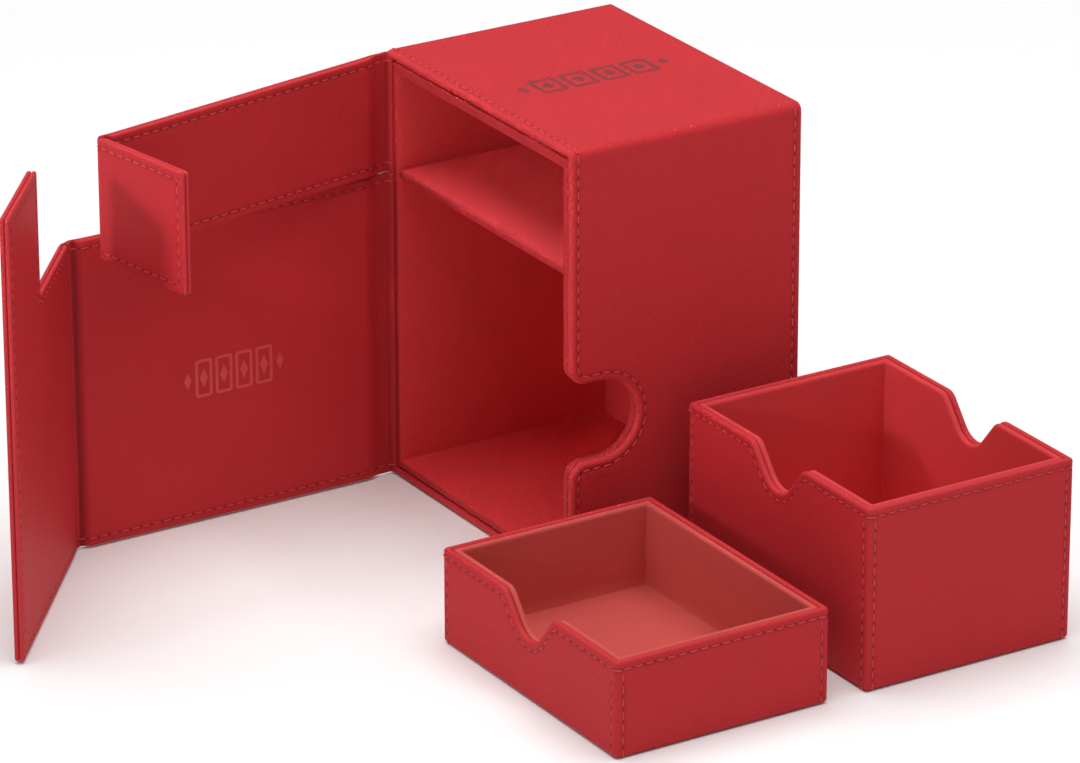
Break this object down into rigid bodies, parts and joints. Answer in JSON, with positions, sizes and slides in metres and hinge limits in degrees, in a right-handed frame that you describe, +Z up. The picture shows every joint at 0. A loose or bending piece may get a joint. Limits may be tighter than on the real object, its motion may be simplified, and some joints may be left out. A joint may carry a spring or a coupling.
{
  "type": "card deck box",
  "caption": "Leatherette card deck box with side-hinged lids, folding magnetic flaps, an inner shelf, a thumb notch, and loose trays for cards and accessories.",
  "frame": {"origin": "middle of the box body's underside, on the surface it stands on", "axes": "+Z up; the open front faces -Y; the lids hinge on the left front edge at -X; the loose trays stand on the +X side"},
  "size_m": [0.2254, 0.2883, 0.148],
  "materials": {
    "leatherette": "red embossed leatherette with a fine diagonal twill, semi-matt",
    "lining": "red microfibre, matt with a faint grain",
    "board": "raw grey-brown board, hidden inside the walls",
    "magnet": "plated disc magnet, hidden inside the walls"
  },
  "bodies": {
    "box": {"shell_cover_left": "leatherette", "shell_cover_right": "leatherette", "shell_cover_bottom": "leatherette", "shell_cover_top": "leatherette", "shell_cover_back": "leatherette", "shell_board_left": "board", "shell_board_right": "board", "shell_board_bottom": "board", "shell_board_top": "board", "shell_board_back": "board", "liner_left": "lining", "liner_right": "lining", "liner_floor": "lining", "liner_ceiling": "lining", "liner_back": "lining", "shelf": "lining", "wall_magnet_upper": "magnet", "wall_magnet_lower_low": "magnet", "wall_magnet_lower_high": "magnet", "upper_lid_hinge_strip": "leatherette", "lower_lid_hinge_strip": "leatherette"},
    "upper_lid": {"upper_lid_cover": "leatherette", "upper_lid_board": "board", "upper_lid_lining": "lining", "upper_flap_hinge_strip": "leatherette"},
    "upper_flap": {"upper_flap_cover": "leatherette", "upper_flap_board": "board", "upper_flap_lining": "lining", "upper_flap_magnet": "magnet"},
    "lower_lid": {"lower_lid_cover": "leatherette", "lower_lid_board": "board", "lower_lid_lining": "lining", "lower_flap_hinge_strip": "leatherette"},
    "lower_flap": {"lower_flap_cover": "leatherette", "lower_flap_board": "board", "lower_flap_lining": "lining", "lower_flap_magnet_low": "magnet", "lower_flap_magnet_high": "magnet"},
    "accessory_tray": {"accessory_tray_base_cover": "leatherette", "accessory_tray_wrap": "leatherette", "accessory_tray_front_board": "board", "accessory_tray_back_board": "board", "accessory_tray_left_board": "board", "accessory_tray_right_board": "board", "accessory_tray_floor_board": "board", "accessory_tray_lining": "lining"},
    "card_tray": {"card_tray_base_cover": "leatherette", "card_tray_wrap": "leatherette", "card_tray_front_board": "board", "card_tray_back_board": "board", "card_tray_left_board": "board", "card_tray_right_board": "board", "card_tray_floor_board": "board", "card_tray_lining": "lining"}
  },
  "joints": [
    {"name": "upper_lid_hinge", "type": "hinge", "parent": "box", "child": "upper_lid", "pos_m": [-0.0565, -0.0463, 0.1273], "axis": [0, 0, 1], "range_deg": [-100.4, 79.6]},
    {"name": "upper_flap_hinge", "type": "hinge", "parent": "upper_lid", "child": "upper_flap", "pos_m": [-0.03549, -0.16079, 0.1273], "axis": [0, 0, 1], "range_deg": [-62, 0]},
    {"name": "lower_lid_hinge", "type": "hinge", "parent": "box", "child": "lower_lid", "pos_m": [-0.0565, -0.0463, 0.0535], "axis": [0, 0, 1], "range_deg": [0, 90]},
    {"name": "lower_flap_hinge", "type": "hinge", "parent": "lower_lid", "child": "lower_flap", "pos_m": [-0.0565, -0.1627, 0.0535], "axis": [0, 0, 1], "range_deg": [-51, 39]},
    {"name": "accessory_tray_slide", "type": "slide", "parent": "box", "child": "accessory_tray", "axis": [1, 0, 0], "range_m": [0, 0.1]},
    {"name": "card_tray_slide", "type": "slide", "parent": "box", "child": "card_tray", "axis": [1, 0, 0], "range_m": [0, 0.1]}
  ],
  "couplings": [
    {"joint": "accessory_tray_slide", "follows": "lower_lid_hinge", "m_per_rad": 0.063},
    {"joint": "card_tray_slide", "follows": "lower_lid_hinge", "m_per_rad": 0.063}
  ]
}
